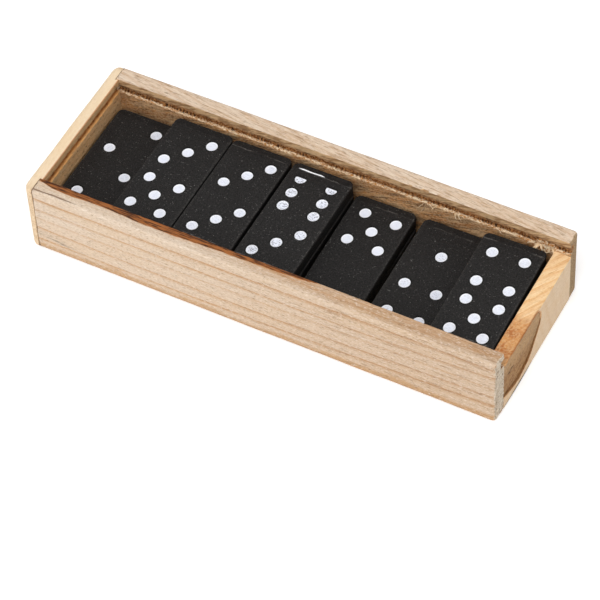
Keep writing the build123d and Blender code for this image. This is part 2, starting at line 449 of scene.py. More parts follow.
# Sawn end grain: greyish ridges left by the saw, with brown valleys and pores between them
sawnEndGrain = {
    "body": "#AB9274",
    "patterns": {
        "mottle": ((1.1, 1.1, 0.8), 4.0, 0.35, 0.65), "rough": ((0.45, 0.45, 0.35), 3.0, 0.35, 0.68),
        "dark": ((0.7, 0.7, 1.4), 2.0, 0.55, 0.72),
    },
    "layers": [
        ("mottle", 0.60, "#C9B79E"), ("sawn", 0.90, "#E8DBC8"), ("rough", 0.45, "#F2E9DC"),
        ("dark", 0.85, "#70523A"),
    ],
    "relief": {"rough": 0.8, "mottle": 0.6, "dark": -0.6}, "reliefDepth": 0.16,
    "gloss": ("mottle", 0.70, 0.85), "specular": 0.2,
}
backEndGrain = {
    **sawnEndGrain, "body": "#8E7355",
    "layers": [
        ("mottle", 0.60, "#B0946E"), ("sawn", 0.50, "#B89C78"), ("rough", 0.30, "#CFB693"),
        ("dark", 0.80, "#6A4C32"),
    ],
}


wall = {
    "topRounding": 1.0, "bottomRounding": 1.0, "endRounding": 1.5,
    "worn": 0.16,                    # radius of edges that are only worn
    "grooveDepth": 2.0, "grooveFloor": 19.7, "grooveTop": 22.4,
    "faceStep": 1.1, "topStep": 0.3, "grooveStep": 0.2, "lipStep": 0.35,
    "sawPitch": 1.15, "sawDepth": 0.3,    # saw marks across the right ends
    "capStep": 0.28, "capMargin": 0.3,    # points inside the right ends, and their distance from a side
    "capInset": 1.4, "capInsetTop": 1.2,  # the same at the rounded sides
    "endGrainFrom": 0.55,                 # where the end grain starts, before the right end
    "tickPitch": 1.05,                    # cutter marks along the groove
    "darkerToRightSpan": (-60, 70),                # along the box, where the front face gets darker by painted shade and its lines get darker
}
frontWall = {
    "stationStep": 0.5, "seed": 11, "fray": 0.25, "pit": 0.15, "chips": [], "edgeChips": [], "scallop": 0.32,
    "stainReach": [(-71, 0.9), (-66, 1.9), (-62, 2.25), (-50, 1.9), (-40, 2.35), (-27, 2.45), (-15, 1.95),
                   (-3, 1.55), (9.5, 1.15), (15.4, 0.65), (19, 0.0), (24, -0.8)],
    "crackFrom": -72.0, "crackTo": -53.5, "crackIn": 1.05,   # along the top, from the outer face
    # Heights of the growth lines on the outer face at these places along the box
    "lineStations": (-70, -20, 20, 72),
    "lineHeights": [(-4.0, -4.0, -3.5, -3.0), (0.9, 1.3, 1.2, 2.2), (4.4, 4.3, 5.2, 7.4),
                    (9.3, 8.4, 9.0, 11.0), (13.4, 13.4, 14.2, 14.3), (16.9, 16.9, 17.0, 19.3),
                    (21.4, 21.5, 22.3, 22.6), (27.5, 27.0, 26.0, 26.2)],
    "ringSlant": 0.45, "lowBand": 2.6,
    "smoke": (-64.0, 5.7, 9.0, 1.3),       # grey streak on the outer face: centre along and up, half sizes
}
backWall = {
    "stationStep": 0.26, "seed": 23, "fray": 0.6, "pit": 0.75, "scallop": 0.1,
    "chips": [(62.4, 69.0, 2.4, 1.7)],                      # from, to, drop, depth
    "edgeChips": [(29.0, 1.3, 0.9), (24.5, 0.6, 0.35), (33.5, 0.8, 0.3)],   # place, half length, depth
    "ringTilt": 17.0, "ringSlant": -1.0, "ringSpacing": 2.6,
}


def wallStations(step):
    # Places along a wall: even steps, closer together where the ends round off
    start, end, radius = wallLow[0], wallHigh[0], wall["endRounding"]
    body = np.linspace(start + 0.8, end - radius, round((end - start - radius) / step))
    quarter = np.linspace(0, math.pi / 2, 12)[1:]
    begin = start + np.array([0, 0.06, 0.16, 0.3, 0.5])
    return np.concatenate([begin, body, end - radius + radius * np.sin(quarter)])


def ringsFromHeights(look, x, y, z):
    # Ring number: how many growth lines lie below the point, counted evenly between one line and the next
    level = z + look["ringSlant"] * (wallHigh[1] - np.abs(y))
    heights = [np.polyval(np.polyfit(look["lineStations"], row, 3), x) for row in look["lineHeights"]]
    number = np.zeros(np.broadcast(x, level).shape)
    for below, above in zip(heights[:-1], heights[1:]):
        number += np.clip((level - below) / (above - below), 0, 1)
    return number


def ringsFromTilt(look, x, y, z):
    # Ring number: distance along a tilted direction divided by the spacing, bent by slow waves
    tilt = math.radians(look["ringTilt"])
    level = z * math.cos(tilt) - x * math.sin(tilt) + look["ringSlant"] * y
    return (level + 1.1 * softNoise(look["seed"], x / 17, z / 6)) / look["ringSpacing"]


def wallCorners():
    # The wall's section, across from its inner face and up, with the lid's groove and the base's rebate.
    # Marks 1 to 4 are the groove, 5 and 6 the top's edges, 7 the bottom edge, and 8 to 0 the rebate
    worn, height, thick, face = wall["worn"], wallHigh[2], wallThick, wall["faceStep"]
    groove, floor, roof = wall["grooveDepth"], wall["grooveFloor"], wall["grooveTop"]
    fine = wall["grooveStep"]
    letIn, base = baseHigh[1] - wallLow[1], baseHigh[2]
    return [
        (0, base, worn, 0.6), (0, floor, worn, fine), (groove, floor, worn, fine), (groove, roof, worn, fine),
        (0, roof, worn, wall["lipStep"]), (0, height, worn, wall["topStep"]),
        (thick, height, wall["topRounding"], face), (thick, 0, wall["bottomRounding"], face),
        (letIn, 0, worn, face), (letIn, base, worn, face),
    ]


def tearGroove(look, x, marks, across, up):
    # The groove's lower edge is cut off by a slope of uneven drop and depth. Its floor gets cutter pits at an
    # even pitch, deeper towards the back, and a fuzzy rise near the edge
    groove, floor, seed, fray = wall["grooveDepth"], wall["grooveFloor"], look["seed"], look["fray"]
    drop = fray * (0.25 + 0.9 * peaks(seed + 1, x / 0.9) ** 1.5 + 0.25 * peaks(seed + 2, x / 5))
    depth = fray * (0.30 + 0.7 * peaks(seed + 3, x / 1.3))
    for start, end, chipDrop, chipDepth in look["chips"]:
        inside = smoothStep(start, start + 1.2, x) * smoothStep(end, end - 0.7, x)
        ragged = 1 + 0.3 * softNoise(seed + 4, x / 0.6)
        drop = np.maximum(drop, chipDrop * inside * ragged)
        depth = np.maximum(depth, chipDepth * inside * ragged)
    depth = np.minimum(depth, groove - 0.2)
    part = (across - (floor - up) + drop) / (drop + depth)
    broken = (marks < 2) & (across < groove - 0.02) & (part > 0) & (part < 1)
    across, up = np.where(broken, depth * part, across), np.where(broken, floor - drop * (1 - part), up)
    onFloor = (marks > 1.0) & (marks < 1.999) & ~broken
    wave = x / wall["tickPitch"] + 0.9 * softNoise(seed + 5, x / 2.6) + 0.3 * across
    # The cutter's ticks: pits in the floor, also used to paint near-black shadow into them
    cutterTickAndShadow = np.clip(1.6 * np.sin(2 * np.pi * wave) - 0.3, 0, 1) * (0.55 + 0.45 * softNoise(seed + 16, x / 2.2))
    cutterTickAndShadow = cutterTickAndShadow * smoothStep(0.45, 0.85, across + 0.2 * softNoise(seed + 20, x / 0.45))
    pits = look["pit"] * (0.6 * cutterTickAndShadow + 0.3 * peaks(seed + 6, x / 0.5, across / 0.4))
    fuzz = look["pit"] * 0.45 * peaks(seed + 17, x / 0.35, across / 0.3)
    fuzz = fuzz * smoothStep(0.9, 0.4, across)
    settle = smoothStep(groove, groove - 0.15, across) * smoothStep(0.0, 0.3, across - depth)
    up = np.where(onFloor, up + (fuzz - pits) * settle, up)
    # Painted shade: the groove's floor gets darker towards the back, under the lip
    deep = smoothStep(0.45, 1.0, across + 0.25 * softNoise(seed + 21, x / 0.5, across / 0.4))
    # The torn part also carries painted light on the groove's lower edge
    return across, up, onFloor | broken, np.where(onFloor, deep, 0), np.where(onFloor, cutterTickAndShadow, 0)


def sandOutside(look, x, marks, across, up, normal):
    # The outer faces wander inwards by a few hundredths; the top's inner edge has nicks and a few chips
    seed = look["seed"]
    planed = smoothStep(4.9, 5.2, marks) * (marks < 8)
    wander = 0.045 * (1 + softNoise(seed + 7, x / 11, marks / 0.35)) * planed
    fromEdge = np.abs(marks - 5)
    nicks = 0.22 * np.clip(softNoise(seed + 8, x / 1.6) - 0.45, 0, 1) * (fromEdge < 0.03)
    chips = np.zeros(across.shape)
    for place, reach, depth in look["edgeChips"]:
        chips += depth * np.clip(1 - ((x - place) / reach) ** 2, 0, 1) * smoothStep(0.16, 0.0, fromEdge)
    atEnds = (rounding(x - (wallHigh[0] - 0.1), 0.1) * (marks > 1.5) * (marks < 4.99)
              + rounding(wallLow[0] + 0.12 - x, 0.12) * (marks > 4.5) * (marks < 8))
    inset = wander + nicks + chips + atEnds
    return across - normal[:, 0] * inset, up - normal[:, 1] * inset


def roundRightEnd(x, across, up):
    # The outer side is pressed inwards, the top down and the bottom up, along quarter circles
    core, height, roof, radius = 2.6, wallHigh[2], wall["grooveTop"], wall["endRounding"]
    outer = rounding(x - (wallHigh[0] - radius), radius)
    level = rounding(x - (wallHigh[0] - wall["topRounding"]), wall["topRounding"])
    pressed = core + (across - core) * (wallThick - outer - core) / (wallThick - core)
    nearTop = np.clip((up - roof - 0.3) / (height - roof - 0.3), 0, 1)
    nearBottom = np.clip((3 - up) / 3, 0, 1)
    return np.where(across > core, pressed, across), up + level * (nearBottom - nearTop)


def sawMarks(seed, across, up):
    # Slanting ridges: a triangle wave of the saw's pitch, bent by slow noise and broken by fine noise
    wave = up / wall["sawPitch"] - 0.30 * across + 0.45 * softNoise(seed + 9, up / 2.5, across / 2)
    ridge = np.abs(2 * (wave % 1) - 1)
    return np.clip(0.7 * ridge + 0.3 * softNoise(seed + 10, up / 0.5, across / 0.5), 0, 1)


def endCap(look, rimAcross, rimUp, firstNew, lastRow):
    # The right end is a sheet of triangles between the outline and points spread evenly inside it
    step, margin = wall["capStep"], wall["capMargin"]
    inset, top = wall["capInset"], wallHigh[2] - wall["capInsetTop"]
    a, z = np.meshgrid(np.arange(margin, wallThick - inset, step), np.arange(inset, top, step))
    a = a + 0.25 * step * softNoise(look["seed"] + 12, a * 7, z * 7)
    beside = (z > wall["grooveFloor"] - 0.9) & (z < wall["grooveTop"] + 0.4)
    inGroove = beside & (a < wall["grooveDepth"] + margin)
    spots = np.stack([a[~inGroove], z[~inGroove]], 1)
    rim = np.stack([rimAcross, rimUp], 1)
    count = len(rim)
    loose = [Vector(spot) for spot in np.vstack([rim, spots])]
    _, _, triangles, origins, _, _ = geometry.delaunay_2d_cdt(loose, [], [list(range(count))], 1, 1e-5)
    origin = np.array([names[0] for names in origins])
    place = np.where(origin < count, lastRow + origin, firstNew + origin - count)
    return spots, place[np.array([list(triangle) for triangle in triangles])]


def turnLike(points, faces, right):
    # Reverses the triangles whose X direction isn't the wanted one
    a, b, c = points[faces[:, 0]], points[faces[:, 1]], points[faces[:, 2]]
    facing = np.cross(b - a, c - a)[:, 0] > 0
    return np.where((facing == right)[:, None], faces, faces[:, ::-1])


def insideFaces(marks):
    # True for the section's faces from the rebate up to the top's inner edge; the last one closes the loop
    middle = faceMiddles(marks)
    last = np.arange(len(marks)) == len(marks) - 1
    return (middle < 4.98) | (middle > 8.5) | last


def topMarks(look, x, marks, across):
    # The stained strip along the top, as a number that is 0.5 at its edge, and the crack and the glue line at
    # the left end, as a number that is 1 in them
    seed = look["seed"]
    stain = np.zeros(across.shape)
    crack = np.zeros(across.shape)
    if "stainReach" in look:
        reach = np.interp(x, *zip(*look["stainReach"])) + 0.1 * softNoise(seed + 13, x / 3)
        stain = np.where((marks > 4.5) & (marks < 6.1), np.clip(0.5 + (reach - across) / 1.4, 0, 1), 0)
        gap = np.abs(wallThick - across - look["crackIn"] - 0.15 * softNoise(seed + 14, x / 4))
        start, end = look["crackFrom"], look["crackTo"]
        length = smoothStep(start, start + 1, x) * smoothStep(end, end - 8, x)
        crack = np.where((marks > 5.2) & (marks < 6.5), np.clip(1.2 - gap / 0.35, 0, 1) * length, 0)
    glue = np.clip(1.1 - (x - wallLow[0]) / (0.30 + 0.25 * softNoise(seed + 15, 0, marks * 9)), 0, 1)
    return stain, np.maximum(crack, glue * (marks > 4.5))


def buildWall(name, side, look, materials, rings):
    # The wall's section carried along X; side is 1 at the back and -1 at the front
    outline, marks = roundedOutline(wallCorners())
    x = wallStations(look["stationStep"])[:, None]
    rows, columns, seed = len(x), len(marks), look["seed"]
    across, up = repeatSection(outline, rows)
    closing = 1 - 0.98 * smoothStep(baseHigh[0], baseHigh[0] + 0.5, x)     # past the base the rebate ends
    up = np.where((marks > 7.9) | (marks < 0.01), np.minimum(up, baseHigh[2] * 1.2) * closing, up)
    across, up, torn, deep, cutterTickAndShadow = tearGroove(look, x, marks, across, up)
    across, up = sandOutside(look, x, marks, across, up, outwardNormals(outline))
    across, up = roundRightEnd(x, across, up)
    sawn = sawMarks(seed, across, up)
    endFade = smoothStep(wallHigh[0] - 0.5, wallHigh[0], x)
    along = x - wall["sawDepth"] * (1 - sawn) * endFade
    lines = look["scallop"] * np.abs(softNoise(seed + 18, up / 0.8)) * (marks > 6) * (marks < 7)
    along = along - lines * endFade

    spots, endFaces = endCap(look, across[-1], up[-1], rows * columns, (rows - 1) * columns)
    capSawn = sawMarks(seed, spots[:, 0], spots[:, 1])
    cap = np.stack([wallHigh[0] - wall["sawDepth"] * (1 - capSawn), spots[:, 0], spots[:, 1]], 1)
    points = np.vstack([np.stack([along, across, up], -1).reshape(-1, 3), cap])
    sides = gridFaces(rows, columns)
    turned = signedVolume(points, [sides]) > 0
    first = np.arange(columns)[None, ::-1] if turned else np.arange(columns)[None]
    endFaces = turnLike(points, endFaces, turned)
    points[:, 1] = side * (wallLow[1] + points[:, 1])

    faceX = (x[:-1] + x[1:]) / 2
    border = wallHigh[0] - wall["endGrainFrom"] + 0.3 * softNoise(seed + 19, up[1:] / 0.6, across[1:] / 0.6)
    paint = np.where(insideFaces(marks), 1, np.where(faceX > border, 2, 0))
    paint = np.concatenate([paint.ravel(), [2], np.full(len(endFaces), 2)])
    stain, crack = topMarks(look, x, marks, across)
    carried = {"torn": torn, "deep": deep, "cutterTickAndShadow": cutterTickAndShadow, "stain": stain, "crack": crack,
               "lip": smoothStep(3.9, 4.0, marks)}
    numbers = perPoint(carried, across.shape, np.zeros(len(cap)))
    numbers["sawn"] = np.concatenate([sawn.ravel(), capSawn])
    numbers["ring"] = rings(look, points[:, 0], points[:, 1], points[:, 2])
    # Darker towards the right: painted shade on the face, and darker growth lines, streaks and pores
    numbers["toRight"] = smoothStep(*wall["darkerToRightSpan"], points[:, 0])
    if side < 0:
        # A darker band along the bottom: partly other grain, partly painted shade of the rounded bottom edge
        numbers["low"] = smoothStep(look["lowBand"] + 0.4, look["lowBand"] - 0.4,
                                    points[:, 2] + 0.7 * softNoise(31, points[:, 0] / 9))
        midX, midZ, halfX, halfZ = look["smoke"]
        lean = points[:, 2] - midZ + 0.17 * (points[:, 0] - midX)
        numbers["smoky"] = np.clip(1.2 - np.hypot((points[:, 0] - midX) / halfX, lean / halfZ), 0, 1)
    makePiece(name + "_board", points, [sides, first, endFaces], "tray", materials, [name],
              50, numbers, paint)


insideWood = makeFinish("sawnPineInside", sawnPine)
frontFinishes = [makeFinish("planedPineFront", frontPine), insideWood,
                 makeFinish("sawnEndGrainFront", sawnEndGrain)]
backFinishes = [makeFinish("planedPineBack", backPine), insideWood,
                makeFinish("sawnEndGrainBack", backEndGrain)]
buildWall("front_wall", -1, frontWall, frontFinishes, ringsFromHeights)
buildWall("back_wall", 1, backWall, backFinishes, ringsFromTilt)
print("long walls made")


# Sanded limewood: smooth and creamy, with hardly any lines; a thin orange-brown edge along the inside
leftLime = {
    **frontPine, "turn": (0, 0, 90.0), "body": "#F1DABA",
    "growth": (softYear, 0.3, 0.10),
    "layers": [
        ("fibre", 0.30, "#E8CBA4"), ("broad", 0.35, "#EFCFA0"), ("growth", 0.28, "#DDB585"),
        ("fleck", 0.16, "#CDA77C"), ("pale", 0.25, "#FBEFDF"), ("rim", 0.85, "#B4713A"),
        ("corner fibre", 0.55, "#BA8D5E"), ("split", 0.80, "#7E4A22"),
    ],
}
# Its inside is sawn across: grey-brown with dark dots, and a red-brown groove, darker inside by painted
# shade, with dark ticks of painted shadow and a lit lower edge
leftSawn = {
    **sawnPine, "turn": (0, 0, 90.0), "body": "#D2A270",
    "patterns": {
        **sawnPine["patterns"], "dark": ((1.3, 0.7, 0.9), 2.0, 0.58, 0.72),
        "band": ((14.0, 2.0, 1.2), 3.0, 0.42, 0.62), "cloud": ((12.0, 4.0, 4.0), 2.0, 0.40, 0.62),
    },
    "layers": [
        ("cloud", 0.55, "#B39470"), ("band", 0.40, "#9A6C3E"), ("dark", 0.75, "#573A20"),
        ("fibre", 0.30, "#DDB988"), ("fleck", 0.45, "#7A5430"), ("rough", 0.22, "#E2C69E"),
        # The groove's red-brown depth: painted shade
        ("lip", 0.40, "#CFA878"), ("torn", 0.85, "#E8A862"), ("deep", 0.85, "#9A5C2C"),
        # Dark ticks in the groove: cutter marks with painted shadow
        ("deep rough", 0.50, "#CC8E50"), ("cutterTickAndShadow", 0.6, "#5E3214"),
    ],
}
leftEnd = {
    "cornerRadius": 2.7, "topRounding": 1.0, "bottomRounding": 1.0, "worn": 0.14,
    "grooveDepth": 1.5, "seed": 41, "fray": 0.35, "pit": 0.25, "step": 0.4, "ringSpacing": 2.1,
}


def endStations(step, reach, joint):
    # Places across the box, mirrored about its middle: even, but closer at the joint with the walls and on
    # the round corners
    quarter = np.linspace(0, math.pi / 2, 12)[1:]
    radius = leftEnd["cornerRadius"]
    outside = reach - radius + radius * np.sin(quarter)
    half = np.concatenate([np.arange(step / 2, joint - 0.2, step), [joint - 0.1, joint, joint],
                           np.arange(joint + 0.4, reach - radius, 0.4), outside])
    return np.concatenate([-half[::-1], half])


def buildLeftEnd():
    # The board's section carried along Y; beyond the long walls' inner faces only the outer lip is left
    outer, inner, lip = leftLow[0], leftHigh[0], wallLow[0]
    joint, reach, height, base = wallLow[1], leftHigh[1], leftHigh[2], baseHigh[2]
    floor, roof, worn, depth = wall["grooveFloor"], wall["grooveTop"], leftEnd["worn"], leftEnd["grooveDepth"]
    corners = [
        (inner, base, worn, 0.6), (inner, floor, worn, 0.2), (inner - depth, floor, worn, 0.2),
        (inner - depth, roof, worn, 0.2), (inner, roof, worn, 0.3), (inner, height, worn, 0.3),
        (outer, height, leftEnd["topRounding"], 0.6), (outer, 0, leftEnd["bottomRounding"], 0.4),
        (lip, 0, worn, 0.4), (lip, base, worn, 0.3),
    ]
    outline, marks = roundedOutline(corners)
    y = endStations(leftEnd["step"], reach, joint)[:, None]
    rows, columns, seed = len(y), len(marks), leftEnd["seed"]
    across, up = repeatSection(outline, rows)

    # The groove's torn lower edge and pitted floor
    drop = leftEnd["fray"] * (0.3 + 0.7 * peaks(seed, y / 1.1))
    part = ((inner - across) - (floor - up) + drop) / (2 * drop)
    broken = (marks < 2) & (across > inner - depth + 0.1) & (part > 0) & (part < 1)
    across = np.where(broken, inner - drop * part, across)
    up = np.where(broken, floor - drop * (1 - part), up)
    onFloor = (marks > 1.0) & (marks < 1.999) & ~broken
    pits = leftEnd["pit"] * peaks(seed + 1, y / 0.8, across / 0.5)
    up = np.where(onFloor, up - pits * smoothStep(0, 0.3, inner - across - drop), up)
    # Painted shade: darker deeper in the groove, under the lip
    deep = np.where(onFloor, smoothStep(0.4, 0.9, inner - across), 0)
    # Dark ticks: cutter pits with painted shadow
    cutterTickAndShadow = np.where(onFloor, np.clip(softNoise(seed + 6, y / 0.7, across / 0.5) * 2 - 0.4, 0, 1), 0) * deep

    # Lip beyond the joint: the inner side stands back to the walls' ends
    station = np.arange(rows)[:, None]
    jointRows = np.flatnonzero(np.isclose(np.abs(y[:, 0]), joint))
    beyond = (station <= jointRows[0]) | (station >= jointRows[-1])
    across = np.where(beyond & (marks < 5.05), lip + (across - inner) * 0.02, across)
    shortened = outer + (across - outer) * (lip - outer) / (inner - outer)
    across = np.where(beyond & (marks > 5.05) & (marks < 6), shortened, across)
    across = np.where(beyond & (marks > 8.9), lip - 0.01 * (marks - 8.9), across)

    # Rounded outer corners, with the top and bottom drawn in towards them, and a hand-sanded waver
    weight = np.clip((lip - across) / (lip - outer), 0, 1)
    radius = leftEnd["cornerRadius"]
    across = across + rounding(np.abs(y) - (reach - radius), radius) * weight
    lower = rounding(np.abs(y) - (reach - 1.0), 1.0)
    up = up - lower * smoothStep(height - 2.5, height, up) + lower * smoothStep(2.5, 0, up)
    outside = smoothStep(5.6, 6, marks) * smoothStep(8.2, 7.6, marks) * (np.abs(y) < reach - 1)
    across = across + 0.05 * (1 + softNoise(seed + 2, y / 9, marks / 0.4)) * outside
    up = up - 0.04 * (1 + softNoise(seed + 3, y / 13)) * smoothStep(height - 1.5, height, up)

    points = np.stack([across, np.broadcast_to(y, across.shape), up], -1).reshape(-1, 3)
    level = points[:, 0] * 0.55 + points[:, 2] * 0.35 + 0.6 * softNoise(seed + 4, points[:, 1] / 25)
    fromJoint = np.where(np.abs(y) > joint - 0.3, np.abs(across - lip), np.inf)
    glue = np.clip(1 - fromJoint / 0.32, 0, 1) * (marks > 4.9)
    rim = smoothStep(inner - 0.45, inner - 0.1, across) * (marks > 4.9) * (marks < 6)
    carried = {"torn": (onFloor | broken) & ~beyond, "deep": deep * ~beyond, "cutterTickAndShadow": cutterTickAndShadow * ~beyond,
               "crack": glue, "rim": rim * ~beyond, "lip": smoothStep(3.9, 4.0, marks),
               "corner": smoothStep(reach - 2.6, reach - 0.4, np.abs(y))}
    numbers = perPoint(carried, across.shape)
    numbers["ring"] = level / leftEnd["ringSpacing"]
    paint = np.where(insideFaces(marks) & ~(beyond[1:] & beyond[:-1]), 1, 0)
    paint = np.concatenate([paint.ravel(), [0, 0]])
    finishes = [makeFinish("sandedLime", leftLime), makeFinish("sawnLimeInside", leftSawn)]
    groups = [gridFaces(rows, columns), *closingFaces(rows, columns)]
    makePiece("left_end_board", points, groups, "tray", finishes, ["left_end"],
              50, numbers, paint)


buildLeftEnd()
print("left end made")


# Planed pine of the low end: pale tan outside, with faint warm growth arcs
rightPine = {
    **frontPine, "turn": (0, 0, 80.0), "body": "#DBC2A4",
    "growth": (softYear, 0.3, 0.10),
    "layers": [
        ("fibre", 0.35, "#CDB08C"), ("broad", 0.30, "#D8B88E"), ("growth", 0.35, "#C99A64"),
        ("fleck", 0.26, "#B48F68"), ("pale", 0.30, "#EBDCC8"), ("pore", 0.40, "#9A7048"),
        ("scoopRim", 0.9, "#C98C50"),
    ],
}
# Its sawn top: bright orange-yellow wood with broad pale and orange years, crumbly and redder near the front
rightTop = {
    **frontPine, "turn": (0, 0, -59.0), "body": "#EFC896",
    "patterns": {
        **frontPine["patterns"], "fibre": ((7.0, 0.5, 0.5), 3.0, 0.32, 0.70),
        "crumb": ((0.8, 0.7, 0.7), 3.0, 0.40, 0.62), "cloud": ((3.5, 2.0, 2.0), 2.0, 0.40, 0.62),
    },
    "growth": (softYear, 0.55, 0.14),
    "layers": [
        ("growth", 0.90, "#DC984F"), ("fibre", 0.50, "#FAE0B8"), ("streak", 0.5, "#CF8A42"),
        ("fleck", 0.30, "#C98848"), ("crumbly", 0.75, "#C47C38"), ("crumbly cloud", 0.80, "#AD6430"),
        ("crumbly crumb", 0.50, "#E3BC8A"), ("crumbly pore", 0.80, "#8A4A22"), ("arris", 0.80, "#9A5524"),
    ],
    "relief": {"fibre": 0.5, "crumb": 0.5, "pore": -0.8}, "reliefDepth": 0.10,
}
# Bare torn face inside the scoop: brown, with fibres along the board, darker towards its edge, partly by dark
# fibres and partly by painted shade
tornPine = {
    **sawnPine, "turn": (0, 0, 90.0), "body": "#986E46",
    "patterns": {
        **sawnPine["patterns"], "fibre": ((7.0, 0.5, 0.40), 3.0, 0.42, 0.58),
        "cloud": ((5.0, 1.5, 1.3), 2.0, 0.42, 0.58),
    },
    "edges": {"split": ("crack", "rough", 0.30, [(0.35, 0.0), (0.75, 1.0)])},
    "layers": [
        ("cloud", 0.70, "#744620"), ("upper", 0.60, "#C2A682"), ("fibre", 0.50, "#C49866"),
        # Darker towards the scoop's edge: partly dark fibres, partly painted shade
        ("fleck", 0.55, "#54320F"), ("rough", 0.30, "#D0AA7C"), ("scoopEdgeShadeAndFibres", 0.65, "#6E401C"),
        ("split", 0.9, "#33200F"),
    ],
    "relief": {"fibre": 0.8, "rough": 0.5, "split": -2.0}, "reliefDepth": 0.14,
}
rightEnd = {
    "bottomRounding": 1.0, "worn": 0.16, "seed": 53, "columnStep": 0.25,
    # Lower edge of the scoop: distance from the front wall, height
    "scoop": [(0, 5.4), (4.1, 3.8), (7.5, 2.9), (10.3, 2.8), (13.0, 3.3), (15.8, 4.3), (18.0, 6.1),
              (19.8, 8.3), (21.6, 10.4), (23.0, 12.5), (23.6, 14.6)],
    # How far from the front wall the scoop reaches, at these heights; its depth above and below
    "tipHeights": (14.6, 16.5, 18.35, 19.0), "tips": (23.5, 23.1, 21.9, 20.4),
    "scoopTop": 0.12, "scoopBottom": 0.60,
    "crack": (3.1, 11.6, 6.9, 12.3),       # from, height, to, height
    "crumbleTo": 21.0,                     # how far from the front wall the top is crumbly
    "middle": 9.5,                         # height of the rows that move to the scoop's edge
    "ringAngle": 31.0, "ringSpacing": 2.35,
}


